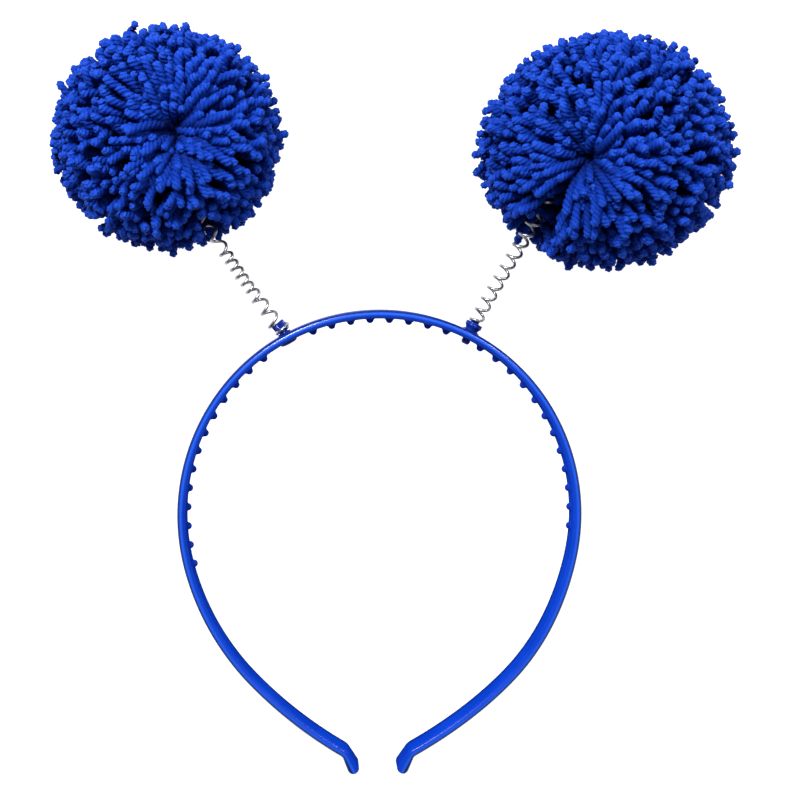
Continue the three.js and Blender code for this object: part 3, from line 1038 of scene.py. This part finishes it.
def yarn_bundle(name, side, bundle, line, draws, finish):
    paths = strand_paths(side, bundle["tips"], bundle["shares"], line, draws)
    paths = clear_of_spring(paths, line)
    paths = rested(paths + pompom_centre(side))
    rings, lay = bundle["rings"](paths, bundle["sides"], draws)
    piece = mesh_object(name, *lofts(rings), finish)
    attribute = piece.data.attributes.new("lay", "FLOAT_VECTOR", "POINT")
    attribute.data.foreach_set("vector", lay.astype(np.float32).ravel())
    return piece


def pompom(name, side, finish):
    draws = np.random.RandomState(side["seed"])
    count = round(4 * math.pi * np.prod(side["half_size"]) ** (2 / 3) / (0.866 * STRAND_SPACING**2))
    tips = spread(count, draws)
    angle = np.arccos(np.clip(tips[:, 2], -1, 1))
    tips = tips[angle > DIMPLE_ANGLE]
    angle = angle[angle > DIMPLE_ANGLE]
    line, _ = spring_axis(side)
    line = line - pompom_centre(side)
    arching = angle < CROWN_ANGLE
    upper = angle < BASE_ANGLE
    bundles = {
        "crown": {"tips": tips[arching], "shares": step_shares(25, 2)},
        "side": {"tips": tips[upper & ~arching], "shares": step_shares(14, 1)},
        "base": {"tips": tips[~upper], "shares": step_shares(12, 1)},
    }
    for part in ("crown", "side"):
        bundles[part].update({"sides": 4, "rings": ply_rings})
    bundles["base"].update({"sides": 6, "rings": strand_rings})
    for part, bundle in bundles.items():
        piece = yarn_bundle(f"pompom_{name}_{part}", side, bundle, line, draws, finish)
        stand_for(piece, f"pompom_{name}")
    points, faces = ball(CORE_SHARE * CORE_OVERLAP)
    points = points * side["half_size"] + pompom_centre(side)
    stand_for(mesh_object(f"pompom_{name}_core", points, faces, finish), f"pompom_{name}")


def ball(radius, rows=24, sides=36):
    polar = (np.arange(rows) + 0.5) / rows * math.pi
    angles = np.arange(sides) / sides * TURN
    rings = np.stack(
        [
            np.sin(polar)[:, None] * np.cos(angles),
            np.sin(polar)[:, None] * np.sin(angles),
            -np.cos(polar)[:, None] * np.ones(sides),
        ],
        -1,
    )
    return lofts(rings[None] * radius)


# The stage


def place_camera():
    data = bpy.data.cameras.new("camera")
    data.lens = CAMERA_LENS
    data.sensor_width = CAMERA_SENSOR
    data.shift_x, data.shift_y = CAMERA_SHIFT
    data.clip_start = 0.01
    camera = bpy.data.objects.new("camera", data)
    bpy.context.scene.collection.objects.link(camera)
    back = -unit(CAMERA_VIEW)
    right = unit(np.cross(CAMERA_UP, back))
    upright = np.cross(back, right)
    place = (CROWN + CAMERA_FROM_CROWN) * MM
    matrix = np.eye(4)
    matrix[:3, 0], matrix[:3, 1], matrix[:3, 2], matrix[:3, 3] = right, upright, back, place
    camera.matrix_world = Matrix(matrix.tolist())
    bpy.context.scene.camera = camera


def softbox(name, place, aim, size, power):
    data = bpy.data.lights.new(name, "AREA")
    data.shape = "DISK"
    data.size = size
    data.energy = power
    light = bpy.data.objects.new(name, data)
    bpy.context.scene.collection.objects.link(light)
    light.location = place
    light.rotation_mode = "QUATERNION"
    light.rotation_quaternion = (Vector(aim) - Vector(place)).to_track_quat("-Z", "Y")


def studio():
    world = bpy.data.worlds.new("studio")
    bpy.context.scene.world = world
    finish = Finish(world)
    way = finish.node("ShaderNodeTexCoord")["Generated"]
    up = finish.node("ShaderNodeSeparateXYZ", {}, {0: way})[2]
    stops = [(0.0, (0.4, 0.4, 0.41)), (0.3, (0.18, 0.18, 0.19)), (1.0, (0.1, 0.1, 0.11))]
    sky = finish.node("ShaderNodeValToRGB", {"stops": stops}, {"Fac": up})["Color"]
    light = finish.node("ShaderNodeBackground", {}, {"Color": sky, "Strength": 1.0})[0]
    finish.node("ShaderNodeOutputWorld", {}, {"Surface": light})
    softbox("key", (-0.34, 0.5, 0.78), (0, 0, 0), 0.3, 16.5)
    softbox("fill", (0.5, 0.42, 0.7), (0, 0, 0), 0.14, 4)
    softbox("overhead", (0.1, 0.1, 1.1), (0, 0, 0), 0.8, 1.5)
    bpy.context.scene.view_settings.view_transform = "Standard"


def surface_below():
    half = 3000.0
    corners = np.array([[-half, -half, 0], [half, -half, 0], [half, half, 0], [-half, half, 0]])
    finish = Finish(bpy.data.materials.new("pale_table"))
    grain = finish.noise(30, 2)
    paper = finish.surface(
        {
            "Base Color": finish.mix(grain, colour(0.2, 0.2, 0.2), colour(0.22, 0.22, 0.22)),
            "Roughness": finish.span(grain, 0.3, 0.7, 0.85, 0.95),
            "Specular IOR Level": 0.1,
            "Emission Color": colour(1, 1, 1),
            "Emission Strength": 1.0,
        }
    )
    mesh_object("table", corners, [[0, 1, 2, 3]], paper)


place_camera()
studio()
surface_below()
post_finish = post_plastic()
wire_finish = plated_wire()
yarn_finish = yarn()
headband(band_plastic())
for side_name, each in SIDES.items():
    post(side_name, each, post_finish)
    spring(side_name, each, wire_finish)
    pompom(side_name, each, yarn_finish)
